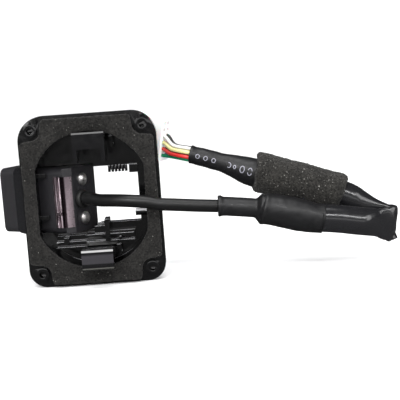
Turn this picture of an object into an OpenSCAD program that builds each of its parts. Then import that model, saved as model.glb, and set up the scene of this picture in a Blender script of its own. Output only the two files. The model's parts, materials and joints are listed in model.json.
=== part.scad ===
// Backup camera kit: a panel bezel with a foam gasket and two snap clips carries a
// camera that looks out sideways through a hooded cover. Its lead is folded back on
// itself and ends in a multi-way plug.
// X runs across the flange, Z up it, and Y from the vehicle panel out to the lens.
// The origin is the centre of the flange, on the face that carries the gasket.

/* [Flange and gasket] */
// Width of the flange
flange_w = 46; // [45.5:0.5:48]
// Height of the flange
flange_h = 57.4; // [57:0.2:60]
// Thickness of the flange plate
flange_t = 2.6; // [2.4:0.1:2.8]
// Corner radius at the top of the flange
corner_top = 8.5; // [7:0.5:9]
// Corner radius at the bottom of the flange
corner_bottom = 6; // [5:0.5:7]
// Width of the opening through the flange
opening_w = 36; // [35.6:0.2:36]
// Height of the opening through the flange
opening_h = 45.8; // [45.4:0.2:46]
// Thickness of the foam gasket before it is squeezed
gasket_t = 3; // [2:0.5:3]
// Distance from the flange's edges to the screw holes
hole_inset = 4.5; // [4.4:0.1:4.8]
// Radius of the screw pilot holes
hole_r = 1.1; // [0.9:0.1:1.2]

/* [Camera] */
// Angle between the lens axis and the flange's outward direction
camera_tilt = 60; // [59:1:61]
// Half width of the camera body
body_half_w = 8.5; // [8.3:0.1:8.5]
// Half height of the camera body
body_half_h = 11; // [10.8:0.1:11]
// Radius of the front lens
lens_r = 5; // [4.6:0.1:5.2]

/* [Lead] */
// Radius of the round lead
lead_r = 2.1; // [1.8:0.1:2.1]
// Downward slope of the lead past its bend, in degrees
lead_droop = 9.5; // [8:0.5:10]
// Radius of the sleeving over the separate wires
tube_r = 4.55; // [4.3:0.05:4.55]
// Radius of the foam wrap
wrap_r = 7.1; // [6.4:0.1:7.3]
// Radius of one insulated wire
wire_r = 0.62; // [0.5:0.02:0.62]

/* [Plug] */
// Distance between neighbouring ways of the plug
pitch = 2.2; // [2.1:0.05:2.3]
// Length of the plug's housing
plug_len = 15; // [13:0.5:16]

/* [Hidden] */
$fn = 64;
HULL_FN = 32;
gap = 0.1;
eps = 0.01;

// Flange, tub and cover
opening_r = 19.5;
tub_wall = 1.7;
front_y = 9;
front_t = 1.6;
boss_r = 2.3;
boss_h = 1.2;
skin = 0.7;
cover_t = 1.5;
cover_y = flange_t + gap;
cover_front = front_y + front_t + gap;
window_right = 15.3;
window_top = 10.1;
window_bottom = -9.3;
gasket_inset = 0.85;
gasket_soft = 1.4;
notch_r = 3.3;
notch_flare = 0.7;
corner_reach = 7;

// Snap clips
clip_left = -4;
clip_w = 10.4;
clip_pivot_y = 6.8;
clip_pivot_z = 18.5;
clip_pivot_r = 1.1;
clip_tip = -9.4;
arm_t = 1.8;
lug_w = 1.5;

// Camera, in its own frame: Y forward along the lens axis, from the centre of the rear face
camera_at = [-3, 5.5, 0];
rear_t = 2.4;
rear_half_w = body_half_w - 2.35;
body_front = 22.4;
body_wall = 1.4;
body_corner = 2.2;
body_clear = 0.25;
cowl_wall = 1.2;
cowl_straight = 16.5;
cowl_end = body_front;
hood_y = body_front + 0.35;
hood_len = 6;
cable_x = -2.2;
screw_x = -0.8;
screw_z = 6.6;
screw_r = 0.95;
board_half_w = 6.4;
board_half_h = 4.3;
board_t = 0.8;
sensor_y = 9.6;
interface_y = 5.4;
barrel_r = 4.2;
barrel_y = 12.4;
head_y = body_front + 0.6;
head_len = 3.6;
seal_y = body_front + 0.3;

// Lead: a ball at the swing point, a straight, a bend, and the long front leg
swing_out = 4.2;
lead_straight = 12.9;
lead_bend_r = 16;
lead_yaw = 3;
bend_turn = 90 - camera_tilt + lead_yaw;
bend_angle = acos(cos(lead_droop) * cos(bend_turn));
bend_roll = atan2(-sin(lead_droop), cos(lead_droop) * sin(bend_turn));
shrink_x = 22.3;
jacket_end = 36;
crimp_x = 41;
crimp_len = 6;
tube_x = 50;
shrink_end = 57.4;
flat_x = 67.5;
leg_end = 76.8;
tube_wall = 0.55;
flat_half_h = 5.9;
flat_half_t = 1.9;
flat_shift = 1.2;
wires = 8;
wire_ring = 2;
crimp_ring = 2.7;
core_ring = 1.3;
core_r = 0.35;

// Return leg, from beside the fold towards the plug
return_at = [83.5, 5.5, -4.6];
return_pitch = 18.3;
return_yaw = 175;
return_start = -13.6;
return_flat = -5;
return_drop = 4.2;
wrap_x = 0.1;
wrap_len = 29.2;
marked_x = 23.5;
marked_end = 52.6;

// Plug, in its own frame: X from the sleeve's mouth towards the plug
plug_yaw = 151;
plug_pitch = 11;
plug_lift = 3.4;
wire_start = 3.3;
wire_len = 10.4;
columns = 6;
plug_half_h = columns * pitch / 2 + 0.9;
plug_half_t = pitch + 1.1;
latch_x = wire_len + 7;
latch_y = -plug_half_t - 1.3;
latch_half_w = 2.4;
latch_pin_r = 0.55;

function swing_point() = camera_at + [
    cable_x * cos(camera_tilt) + swing_out * sin(camera_tilt),
    cable_x * sin(camera_tilt) - swing_out * cos(camera_tilt),
    0];
function return_point(x) = return_at + x * [
    cos(return_pitch) * cos(return_yaw), cos(return_pitch) * sin(return_yaw), sin(return_pitch)];
function ring_angle(i) = (i + 0.5) * 360 / wires;
function on_ring(i, x, r) = [x, r * cos(ring_angle(i)), r * sin(ring_angle(i))];
// The wires fan out from the ring to two rows of ways, in order of height, so that none cross
function way_z(column) = (column - (columns - 1) / 2) * pitch + plug_lift;
function way(i, x) = [
    x,
    sign(cos(ring_angle(i))) * pitch / 2,
    way_z(floor(2 + 2 * sin(ring_angle(i))))];

module slab(y0, t) translate([0, y0 + t, 0]) rotate([90, 0, 0]) linear_extrude(t) children();
module rod_x(x0, len, r) translate([x0, 0, 0]) rotate([0, 90, 0]) cylinder(h = len, r = r);
module rod_y(y0, len, r) translate([0, y0 + len, 0]) rotate([90, 0, 0]) cylinder(h = len, r = r);
module spin_x() rotate([0, 90, 0]) rotate_extrude() children();
module spin_y() rotate([-90, 0, 0]) rotate_extrude() children();
module pipe_x(x0, len, r, inner) difference() {
    rod_x(x0, len, r);
    rod_x(x0 - eps, len + 2 * eps, inner);
}
module rod_between(a, b, r) {
    d = b - a;
    translate(a)
        rotate([0, acos(d.z / norm(d)), atan2(d.y, d.x)])
            cylinder(h = norm(d), r = r, $fn = 24);
}

module in_camera() translate(camera_at) rotate([0, 0, camera_tilt]) children();
module in_lead() translate(swing_point()) rotate([0, 0, camera_tilt - 90]) rotate([bend_roll, 0, 0]) children();
module past_bend() in_lead()
    translate([lead_straight + lead_bend_r * sin(bend_angle), lead_bend_r * (1 - cos(bend_angle)), 0])
        rotate([0, 0, bend_angle])
            rotate([-bend_roll, 0, 0])
                children();
module in_return() translate(return_at) rotate([0, -return_pitch, return_yaw]) children();
module in_plug() translate(return_point(marked_end)) rotate([0, -plug_pitch, plug_yaw]) children();

module rounded_outline(w, h, r_top, r_bottom) {
    for (side = [-1, 1]) {
        translate([side * (w / 2 - r_top), h / 2 - r_top]) circle(r_top);
        translate([side * (w / 2 - r_bottom), r_bottom - h / 2]) circle(r_bottom);
    }
    translate([r_top - w / 2, 0]) square([w - 2 * r_top, h / 2]);
    translate([r_bottom - w / 2, -h / 2]) square([w - 2 * r_bottom, h / 2]);
    translate([-w / 2, r_bottom - h / 2]) square([w, h - r_top - r_bottom]);
}

module opening_outline(grow = 0) {
    rise = opening_h / 2 - opening_r;
    intersection() {
        union() {
            for (side = [-1, 1]) translate([0, side * rise]) circle(opening_r + grow);
            square([2 * (opening_r + grow), 2 * rise], center = true);
        }
        square([opening_w + 2 * grow, opening_h + 2 * grow], center = true);
    }
}

module at_holes() {
    for (x = [-1, 1], z = [-1, 1])
        translate([x * (flange_w / 2 - hole_inset), 0, z * (flange_h / 2 - hole_inset)])
            children();
}

module camera_outline(grow = 0) {
    rounded_outline(2 * (body_half_w + grow), 2 * (body_half_h + grow), body_corner + grow, body_corner + grow);
}

module camera_tunnel() in_camera() slab(-1, body_front + hood_len, $fn = 48) camera_outline(body_clear);

module window_cut() {
    translate([-6, front_y - eps, window_bottom])
        cube([window_right + 6, cover_t + front_t + 1, window_top - window_bottom]);
}

module flange_holes() at_holes() rod_y(-boss_h - eps, boss_h + flange_t - skin, hole_r);

module clip_lugs() {
    for (side = [-1, 1], x = [clip_left - lug_w - 0.2, clip_left + clip_w + 0.2])
        translate([x, clip_pivot_y - 2, side * clip_pivot_z - 2])
            cube([lug_w, front_y - clip_pivot_y + 2 + eps, 4]);
}

module clip_bores() {
    for (side = [-1, 1])
        translate([0, clip_pivot_y, side * clip_pivot_z])
            rod_x(clip_left - 3, clip_w + 6, clip_pivot_r + 0.06);
}

module ledge() {
    rib_t = 0.7;
    for (z = [-15, -16.8]) translate([-13.5, 3.4, z]) cube([10.2, front_y - 3.4 + eps, rib_t]);
    for (z = [-13.1, -15.4]) translate([-3.4, 3.4, z]) cube([16.4, front_y - 3.4 + eps, rib_t]);
    translate([-13.5, 6, -16.6]) cube([26.5, front_y - 6 + eps, 4]);
    translate([-10.9, 3, -15.5]) cube([1.7, 6, 2.6]);
    translate([3.2, 3, -16.1]) cube([1.6, front_y - 3 + eps, 8.7]);
    translate([-0.6, 5.6, -15.1]) cube([3.8, front_y - 5.6 + eps, 5.2]);
    translate([8.2, 3, -14]) rod_y(0, 6, 0.6);
}

module window_details() {
    for (i = [0:5])
        translate([5.4 + i * 1.15, 8.2, 7.9]) cube([0.75, 2.2, window_top - 7.9 + eps]);
    translate([5.4, 9, 8.6]) cube([6.5, 1.4, window_top - 8.6 + eps]);
    translate([12.6, 7.6, 7.4]) cube([2.8, 2.8, 2.8]);
    translate([window_right - 1.6, 7.8, -6.3]) rod_x(0, opening_w / 2 - window_right + 1.7, 1.2);
}

module wall_tabs() {
    for (z = [8.8, -5.4])
        translate([-opening_w / 2 - eps, 1.6, z - 0.7]) cube([3.1, 1.6, 1.4]);
}

module bezel() color([0.06, 0.06, 0.07]) {
    difference() {
        union() {
            slab(0, flange_t) difference() {
                rounded_outline(flange_w, flange_h, corner_top, corner_bottom);
                opening_outline();
            }
            at_holes() rod_y(-boss_h, boss_h + eps, boss_r);
            slab(flange_t - eps, front_y + front_t - flange_t + eps) difference() {
                opening_outline(tub_wall);
                opening_outline();
            }
            difference() {
                slab(front_y, front_t) opening_outline(tub_wall);
                window_cut();
            }
            clip_lugs();
            ledge();
            window_details();
            wall_tabs();
        }
        flange_holes();
        clip_bores();
        camera_tunnel();
    }
}

module corner_notch(x, z) {
    reach = corner_reach;
    translate([x * (flange_w / 2 - hole_inset), z * (flange_h / 2 - hole_inset)]) {
        circle(notch_r);
        polygon([
            [0, 0], [-x * notch_r, 0], [-x * (notch_r + notch_flare), z * reach], [x * reach, z * reach],
            [x * reach, -z * (notch_r + notch_flare)], [0, -z * notch_r]]);
    }
}

module foam_gasket() color([0.2, 0.2, 0.2]) {
    slab(-gasket_t, gasket_t - 0.02) offset(r = gasket_soft) offset(delta = -gasket_soft) difference() {
        rounded_outline(flange_w - 2 * gasket_inset, flange_h - 2 * gasket_inset, corner_top, corner_bottom);
        opening_outline(0.02);
        for (x = [-1, 1], z = [-1, 1]) corner_notch(x, z);
    }
}

module cowl() {
    w = body_half_w + body_clear + cowl_wall;
    h = body_half_h + body_clear + cowl_wall;
    end_w = body_half_w + 0.8;
    end_h = body_half_h + 0.4;
    slab(2.5, cowl_straight - 2.5, $fn = HULL_FN) rounded_outline(2 * w, 2 * h, 3, 3);
    hull($fn = HULL_FN) {
        slab(cowl_straight, eps) rounded_outline(2 * w, 2 * h, 3, 3, $fn = HULL_FN);
        slab(cowl_end - eps, eps) rounded_outline(2 * end_w, 2 * end_h, 2.4, 2.4, $fn = HULL_FN);
    }
}

module front_cover() color([0.1, 0.1, 0.11]) {
    difference() {
        union() {
            slab(cover_y, cover_t) rounded_outline(flange_w, flange_h, corner_top, corner_bottom);
            slab(cover_y, cover_front + cover_t - cover_y) opening_outline(tub_wall + gap + cover_t);
            intersection() {
                in_camera() cowl();
                translate([-60, cover_y, -30]) cube([80, 60, 60]);
            }
        }
        slab(0, cover_front) opening_outline(tub_wall + gap);
        window_cut();
        camera_tunnel();
    }
}

// One clip, drawn for the upper side: an arm, a hook at its tip, and webs or one block under it
module clip(web_h, hook_h, solid = false) {
    web_w = solid ? clip_w : 1.3;
    arm_z = clip_pivot_z - arm_t / 2;
    translate([clip_left, 0, 0]) {
        translate([0, clip_tip, arm_z]) cube([clip_w, clip_pivot_y - clip_tip, arm_t]);
        translate([0, 0, arm_z + arm_t]) rotate([90, 0, 90]) linear_extrude(clip_w)
            polygon([
                [clip_tip, -eps], [clip_tip, hook_h - 0.5], [clip_tip + 0.5, hook_h],
                [clip_tip + 3.4, hook_h], [clip_tip + 4.6, -eps]]);
        for (x = solid ? [0] : [0, clip_w - web_w])
            translate([x, 0, arm_z]) rotate([90, 0, 90]) linear_extrude(web_w)
                polygon([
                    [clip_tip, eps], [clip_tip, -web_h], [clip_tip + 6, -web_h], [clip_pivot_y - 3.5, eps]]);
    }
    translate([0, clip_pivot_y, clip_pivot_z])
        rod_x(clip_left - lug_w, clip_w + 2 * lug_w, clip_pivot_r);
}

module upper_clip() color([0.09, 0.09, 0.1]) clip(4.4, 3.6);

module lower_clip() color([0.09, 0.09, 0.1]) mirror([0, 0, 1]) clip(2.2, 2.9, true);

// Camera -------------------------------------------------------------------

module camera_body() color([0.16, 0.16, 0.17]) in_camera() {
    inner_w = body_half_w - body_wall;
    inner_h = body_half_h - body_wall;
    difference() {
        slab(rear_t, body_front - rear_t) camera_outline();
        slab(rear_t - 1, body_front - rear_t - 1)
            rounded_outline(2 * inner_w, 2 * inner_h, 1, 1, $fn = 32);
        rod_y(barrel_y, body_front, barrel_r + 0.08);
    }
    difference() {
        for (z = [-1, 1])
            translate([screw_x - 1.9, rear_t + 1.6, z > 0 ? screw_z - 1.9 : -inner_h - eps])
                cube([3.8, 9, inner_h - screw_z + 1.9 + eps]);
        for (z = [-1, 1]) translate([screw_x, 0, z * screw_z]) rod_y(rear_t, 9, screw_r + 0.05);
    }
}

module rear_cover() color([0.2, 0.2, 0.21]) in_camera() {
    spigot_w = body_half_w - body_wall - 0.15;
    spigot_h = body_half_h - body_wall - 0.15;
    difference() {
        union() {
            translate([0, 0, -body_half_h]) linear_extrude(2 * body_half_h)
                polygon([
                    [-rear_half_w, 0], [rear_half_w, 0], [body_half_w, rear_t - 0.05], [-body_half_w, rear_t - 0.05]]);
            slab(rear_t - 0.1, 1.4) difference() {
                rounded_outline(2 * spigot_w, 2 * spigot_h, 1, 1);
                square([2 * spigot_w - 1.6, 2 * spigot_h - 1.6], center = true);
            }
        }
        translate([cable_x, 0, 0]) rod_y(-1, rear_t + 2, lead_r + 0.6);
        for (z = [-1, 1]) translate([screw_x, 0, z * screw_z]) rod_y(-1, rear_t + 3, screw_r + 0.1);
    }
}

module rear_seal() color([0.05, 0.05, 0.05]) in_camera() {
    seal_half_w = body_half_w - body_wall - 1.2;
    seal_half_h = body_half_h - body_wall - 1.2;
    slab(rear_t + 1.32, 0.25) difference() {
        square([2 * seal_half_w + 1.7, 2 * seal_half_h + 1.7], center = true);
        square([2 * seal_half_w + 0.5, 2 * seal_half_h + 0.5], center = true);
        for (z = [-1, 1]) translate([screw_x, z * screw_z]) square([4.2, 4.4], center = true);
    }
}

module rear_screws() color([0.75, 0.75, 0.78]) in_camera() {
    for (z = [-1, 1]) translate([screw_x, 0, z * screw_z]) difference() {
        union() {
            rod_y(-eps, 8.4, screw_r);
            spin_y() intersection() {
                translate([0, -2.6]) circle(r = 4.6, $fn = 96);
                translate([0, -1.4]) square([2.15, 1.39]);
                translate([0, 1.6]) circle(r = 3);
            }
        }
        for (turn = [0, 90]) rotate([0, turn, 0]) translate([-1.1, -1.6, -0.2]) cube([2.2, 1, 0.4]);
    }
}

module shield_plate() color([0.68, 0.63, 0.66]) in_camera() {
    sheet = 0.35;
    top = 8.2;
    bottom = -8.8;
    split = -4.1;
    side_len = 3.6;
    bead_at = [1, 2.55];
    chamfer = [body_half_w - rear_half_w, rear_t];
    run = norm(chamfer);
    translate([-body_half_w, rear_t, bottom]) {
        linear_extrude(top - bottom)
            translate([-sheet, 0]) square([sheet - 0.02, side_len]);
        for (y = bead_at, part = [[0, split - bottom - 0.5], [split - bottom + 0.5, top - split - 0.5]])
            translate([-sheet - 0.1, y, part[0]]) cylinder(h = part[1], r = 0.42);
        rotate([0, 0, atan2(chamfer.x, chamfer.y)])
            translate([-sheet, -run + 0.3, 0]) cube([sheet - 0.06, run - 0.15, top - bottom]);
    }
}

module cable_boot() color([0.07, 0.07, 0.07]) in_camera() translate([cable_x, 0, 0]) difference() {
    union() {
        rod_y(-0.02 - 1.6, 1.6, lead_r + 1.1);
        rod_y(-0.5, rear_t + 1.4, lead_r + 0.55);
    }
    rod_y(-3, rear_t + 6, lead_r + 0.03);
}

// The fixed end of the lead: its end is dished to the ball of the moving lead
module lead_stub() color([0.09, 0.09, 0.1]) in_camera() translate([cable_x, 0, 0]) difference() {
    rod_y(-swing_out + 0.75, swing_out + rear_t + 0.4, lead_r);
    translate([0, -swing_out, 0]) sphere(lead_r + 0.06);
}

module lens_hood() color([0.17, 0.17, 0.18]) in_camera() {
    difference() {
        slab(hood_y, hood_len) camera_outline(0.15);
        slab(hood_y - 1, hood_len - 0.6) rounded_outline(2 * body_half_w - 2.4, 2 * body_half_h - 2.4, 1.5, 1.5);
        rod_y(hood_y, hood_len + 1, lens_r + 1.9);
    }
}

module hood_ring() color([0.3, 0.3, 0.31]) in_camera() {
    difference() {
        rod_y(hood_y + hood_len - 1.6, 1.9, lens_r + 1.85);
        rod_y(hood_y + hood_len - 2, 3, lens_r + 1.05);
    }
}

module lens_barrel() color([0.12, 0.12, 0.13]) in_camera() difference() {
    union() {
        rod_y(barrel_y, head_y - barrel_y + eps, barrel_r);
        rod_y(head_y, head_len, lens_r + 0.9);
    }
    rod_y(barrel_y - 1, 20, barrel_r - 1);
    rod_y(head_y + 1, head_len, lens_r + 0.05);
}

module barrel_seal() color([0.05, 0.05, 0.05]) in_camera() translate([0, seal_y, 0]) spin_y()
    translate([barrel_r + 0.6, 0]) circle(r = 0.28, $fn = 24);

module front_lens() color([0.55, 0.6, 0.7, 0.6]) in_camera() translate([0, head_y + 1.05, 0]) spin_y() {
    square([lens_r, 1.2]);
    intersection() {
        translate([0, 1.2 - 3.6]) circle(r = norm([lens_r - 0.6, 3.6]), $fn = 96);
        translate([0, 1.1]) square([lens_r - 0.6, 4]);
    }
}

module inner_lens(y, thick) in_camera() rod_y(y, thick, barrel_r - 1.06);

module middle_lens() color([0.55, 0.65, 0.6, 0.6]) inner_lens(head_y - 3, 1.8);

module rear_lens() color([0.55, 0.6, 0.65, 0.6]) inner_lens(barrel_y + 2.4, 2);

module lens_retainer() color([0.1, 0.1, 0.11]) in_camera() difference() {
    rod_y(head_y + 2.3, head_len - 2.3, lens_r);
    rod_y(head_y + 2, head_len, lens_r - 0.55);
}

module ir_filter() color([0.6, 0.5, 0.6, 0.6]) in_camera() rod_y(barrel_y + 0.3, 0.5, barrel_r - 1.06);

module image_sensor() color([0.2, 0.22, 0.25]) in_camera()
    translate([-2.6, sensor_y + board_t, -2.1]) cube([5.2, 0.9, 4.2]);

module sensor_board() color([0.1, 0.3, 0.15]) in_camera()
    translate([-board_half_w, sensor_y, -board_half_h]) cube([2 * board_half_w, board_t, 2 * board_half_h]);

module interface_board() color([0.1, 0.3, 0.15]) in_camera()
    translate([-board_half_w, interface_y, -board_half_h]) cube([2 * board_half_w, board_t, 2 * board_half_h]);

module board_pillars() color([0.7, 0.7, 0.7]) in_camera()
    for (x = [-1, 1], z = [-1, 1])
        translate([x * (board_half_w - 1), 0, z * (board_half_h - 1)])
            rod_y(interface_y + board_t, sensor_y - interface_y - board_t, 0.7);

module board_socket() color([0.9, 0.9, 0.85]) in_camera()
    translate([0.6, interface_y - 1.3, -2]) cube([4.4, 1.3, 4]);

// Lead ---------------------------------------------------------------------

module lead_cable() color([0.09, 0.09, 0.1]) {
    in_lead() {
        spin_x() {
            intersection() {
                circle(lead_r);
                translate([0, -lead_r]) square([lead_r, lead_r]);
            }
            square([lead_r, lead_straight]);
        }
        translate([lead_straight, lead_bend_r, 0]) rotate([0, 0, -90])
            rotate_extrude(angle = bend_angle) translate([lead_bend_r, 0]) circle(lead_r);
    }
    past_bend() rod_x(-0.1, jacket_end + 0.1, lead_r - 0.01);
}

module lead_cores() color([0.8, 0.5, 0.3]) past_bend()
    for (i = [0:wires - 1])
        rod_between(on_ring(i, jacket_end + 0.1, core_ring), on_ring(i, crimp_x - 0.1, crimp_ring), core_r);

module splice_crimps() color([0.75, 0.75, 0.78]) past_bend()
    for (i = [0:wires - 1])
        rod_between(on_ring(i, crimp_x, crimp_ring), on_ring(i, crimp_x + crimp_len, crimp_ring), 0.85);

module lead_wires() color([0.5, 0.1, 0.1]) past_bend()
    for (i = [0:wires - 1])
        rod_between(on_ring(i, crimp_x + crimp_len + 0.1, crimp_ring), on_ring(i, flat_x - 1, wire_ring), wire_r);

module lead_shrink() color([0.07, 0.07, 0.08]) past_bend() spin_x() polygon([
    [lead_r + 0.05, shrink_x], [lead_r + 1.05, shrink_x], [lead_r + 1.2, shrink_x + 1],
    [lead_r + 1.2, shrink_x + 11], [tube_r + 0.45, shrink_x + 16.2], [tube_r + 0.6, shrink_x + 20],
    [tube_r + 0.6, shrink_end], [tube_r + 0.05, shrink_end], [tube_r + 0.05, shrink_x + 17],
    [lead_r + 0.05, shrink_x + 13.6]]);

// The end of a sleeving leg, pressed flat and bent down towards the fold
module flat_end(x0, x1, drop = 0) {
    side = sign(x1 - x0);
    spread = flat_half_h - flat_half_t;
    hull() {
        rod_x(x0 - side * 0.3, eps, tube_r - 0.12, $fn = HULL_FN);
        for (z = [-1, 1])
            translate([x1 - side * eps, flat_shift, z * spread - drop])
                rod_x(0, eps, flat_half_t, $fn = HULL_FN);
    }
}

module lead_tube() color([0.05, 0.05, 0.06]) past_bend() {
    pipe_x(tube_x, flat_x - tube_x, tube_r, tube_r - tube_wall);
    flat_end(flat_x, leg_end);
}

module return_tube() color([0.05, 0.05, 0.06]) in_return() {
    pipe_x(return_flat, wrap_x + 3 - return_flat, tube_r, tube_r - tube_wall);
    flat_end(return_flat, return_start, return_drop);
}

module return_wires() color([0.1, 0.4, 0.2]) in_return()
    for (i = [0:wires - 1])
        rod_between(on_ring(i, return_flat + 1, wire_ring), on_ring(i, marked_end - 0.3, wire_ring), wire_r);

module foam_wrap() color([0.14, 0.14, 0.15]) in_return()
    pipe_x(wrap_x, wrap_len, wrap_r, tube_r + 0.05);

module marked_shrink() color([0.08, 0.08, 0.09]) in_return() spin_x() polygon([
    [tube_r - 0.55, marked_x], [tube_r, marked_x], [tube_r, wrap_x + wrap_len + 1.5],
    [3.3, marked_x + 15], [3.2, marked_end], [wire_ring + wire_r + 0.1, marked_end],
    [wire_ring + wire_r + 0.1, marked_x + 16], [tube_r - 0.6, wrap_x + wrap_len + 1]]);

module plug_wire(i, shade) color(shade) in_plug() {
    rod_between(on_ring(i, wire_start, wire_ring), way(i, wire_len), wire_r);
    translate(way(i, wire_len)) rotate([0, 90, 0]) sphere(wire_r + 0.04, $fn = 24);
    rod_between(way(i, wire_len), way(i, wire_len + 2.4), wire_r);
}

module wire_1() plug_wire(0, [0.85, 0.75, 0.3]);
module wire_2() plug_wire(1, [0.8, 0.8, 0.78]);
module wire_3() plug_wire(2, [0.1, 0.1, 0.1]);
module wire_4() plug_wire(3, [0.85, 0.5, 0.6]);
module wire_5() plug_wire(4, [0.35, 0.12, 0.08]);
module wire_6() plug_wire(5, [0.15, 0.3, 0.7]);
module wire_7() plug_wire(6, [0.1, 0.5, 0.25]);
module wire_8() plug_wire(7, [0.75, 0.1, 0.1]);

// Plug ---------------------------------------------------------------------

module plug_cavities() {
    for (column = [0:columns - 1], row = [-1, 1]) translate([0, row * pitch / 2, way_z(column)]) {
        rod_x(wire_len - 1, 4, wire_r + 0.1, $fn = 24);
        translate([wire_len + 2.2, -0.75, -0.75]) cube([plug_len - 3.4, 1.5, 1.5]);
        translate([wire_len + 3, -0.4, -0.4]) cube([plug_len, 0.8, 0.8]);
    }
}

module plug_housing() color([0.93, 0.93, 0.9]) in_plug() {
    lock_slot = 1.1;
    rib_x = 5;
    difference() {
        union() {
            translate([wire_len, -plug_half_t, plug_lift - plug_half_h])
                cube([plug_len, 2 * plug_half_t, 2 * plug_half_h]);
            for (z = [-1, 1])
                translate([wire_len + rib_x, plug_half_t - eps, plug_lift + z * (plug_half_h - 1.4) - 0.5])
                    cube([plug_len - rib_x, 0.7, 1]);
            for (z = [-1, 1])
                translate([latch_x - 1.3, latch_y - 0.8, plug_lift + z * (latch_half_w + 0.7) - 0.5])
                    cube([2.6, 2.1 + eps, 1]);
        }
        plug_cavities();
        translate([latch_x, latch_y, plug_lift - 5]) cylinder(h = 10, r = latch_pin_r + 0.05, $fn = 32);
        translate([wire_len + plug_len - 4, plug_half_t - lock_slot, plug_lift - 4.5]) cube([1.6, 3, 9]);
    }
}

module plug_terminals() color([0.82, 0.7, 0.4]) in_plug()
    for (i = [0:wires - 1]) translate(way(i, wire_len + 2.6)) difference() {
        translate([0, -0.65, -0.65]) cube([plug_len - 5, 1.3, 1.3]);
        translate([plug_len - 9, -0.4, -0.4]) cube([5, 0.8, 0.8]);
    }

module terminal_lock() color([0.85, 0.85, 0.8]) in_plug()
    translate([wire_len + plug_len - 3.95, plug_half_t - 1.05, plug_lift - 4.45]) cube([1.5, 1.5, 8.9]);

module plug_latch() color([0.93, 0.93, 0.9]) in_plug() {
    lever_t = 1;
    translate([latch_x, latch_y, plug_lift]) {
        translate([0, 0, -latch_half_w - 1.1]) cylinder(h = 2 * latch_half_w + 2.2, r = latch_pin_r, $fn = 32);
        translate([-6, -lever_t / 2, -latch_half_w + 0.1]) cube([13, lever_t, 2 * latch_half_w - 0.2]);
        translate([-6, -lever_t / 2 - 0.6, -latch_half_w + 0.1]) cube([1.6, 0.7, 2 * latch_half_w - 0.2]);
        translate([5.6, 0, -latch_half_w + 0.1]) cube([1.4, 1.1, 2 * latch_half_w - 0.2]);
    }
}

bezel();
foam_gasket();
front_cover();
upper_clip();
lower_clip();
camera_body();
lens_hood();
hood_ring();
rear_cover();
rear_seal();
rear_screws();
shield_plate();
cable_boot();
lead_stub();
lens_barrel();
barrel_seal();
front_lens();
middle_lens();
rear_lens();
lens_retainer();
ir_filter();
image_sensor();
sensor_board();
interface_board();
board_pillars();
board_socket();
lead_cable();
lead_cores();
splice_crimps();
lead_wires();
lead_shrink();
lead_tube();
return_tube();
return_wires();
foam_wrap();
marked_shrink();
wire_1();
wire_2();
wire_3();
wire_4();
wire_5();
wire_6();
wire_7();
wire_8();
plug_housing();
plug_terminals();
terminal_lock();
plug_latch();
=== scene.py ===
import json
import math
import random

import bpy
import numpy as np
from mathutils import Matrix, Vector, noise


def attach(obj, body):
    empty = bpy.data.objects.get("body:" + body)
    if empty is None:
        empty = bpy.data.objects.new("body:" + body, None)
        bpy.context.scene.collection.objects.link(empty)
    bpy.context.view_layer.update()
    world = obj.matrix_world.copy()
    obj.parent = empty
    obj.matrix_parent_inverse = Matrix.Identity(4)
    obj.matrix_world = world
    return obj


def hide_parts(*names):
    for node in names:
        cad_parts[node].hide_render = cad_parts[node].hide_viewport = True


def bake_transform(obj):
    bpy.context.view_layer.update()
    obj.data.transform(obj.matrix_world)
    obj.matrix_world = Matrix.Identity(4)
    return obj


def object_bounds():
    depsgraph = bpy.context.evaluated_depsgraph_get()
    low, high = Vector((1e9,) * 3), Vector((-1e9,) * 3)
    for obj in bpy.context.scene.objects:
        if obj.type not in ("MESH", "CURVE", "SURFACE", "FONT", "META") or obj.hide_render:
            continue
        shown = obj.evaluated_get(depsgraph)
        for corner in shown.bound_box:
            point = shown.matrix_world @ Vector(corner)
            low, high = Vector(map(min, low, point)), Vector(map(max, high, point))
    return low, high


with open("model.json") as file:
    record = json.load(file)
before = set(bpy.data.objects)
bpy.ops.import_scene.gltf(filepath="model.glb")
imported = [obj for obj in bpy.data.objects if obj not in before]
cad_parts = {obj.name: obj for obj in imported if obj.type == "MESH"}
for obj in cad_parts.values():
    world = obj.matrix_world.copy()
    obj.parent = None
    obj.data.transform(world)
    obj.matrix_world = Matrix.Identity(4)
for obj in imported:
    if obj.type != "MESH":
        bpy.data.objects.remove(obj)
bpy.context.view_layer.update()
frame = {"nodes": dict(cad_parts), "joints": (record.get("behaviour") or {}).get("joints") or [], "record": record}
MM = 0.001
UP = Vector((0, 0, 1))
WELD_GAP = 0.005 * MM
NODES = frame["nodes"]
JOINTS = {j["name"]: j for j in frame["joints"]}
MOUNTS = {m["name"]: m for m in frame["record"]["mounts"]}


# ---------------------------------------------------------------- frame helpers

def points_of(node):
    """Every vertex of a CAD node, in metres."""
    mesh = NODES[node].data
    co = np.zeros(len(mesh.vertices) * 3, np.float32)
    mesh.vertices.foreach_get("co", co)
    return co.reshape(-1, 3).astype(float)


def long_axis(node, towards):
    """The middle of a long CAD node and its axis, pointing the way of towards."""
    co = points_of(node)
    middle = (co.max(0) + co.min(0)) / 2
    _, _, rows = np.linalg.svd(co - co.mean(0), full_matrices=False)
    axis = Vector(rows[0]).normalized()
    if axis.dot(towards) < 0:
        axis.negate()
    return Vector(middle), axis


def reach(node, origin, axis):
    """The lowest and highest distance of a CAD node's vertices along an axis from a point."""
    along = (points_of(node) - np.array(origin)) @ np.array(axis)
    return float(along.min()), float(along.max())


def radius_of(node, middle, axis):
    """The largest distance of a CAD node's vertices from an axis."""
    arms = np.cross(points_of(node) - np.array(middle), np.array(axis))
    return float(np.linalg.norm(arms, axis=1).max())


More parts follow.
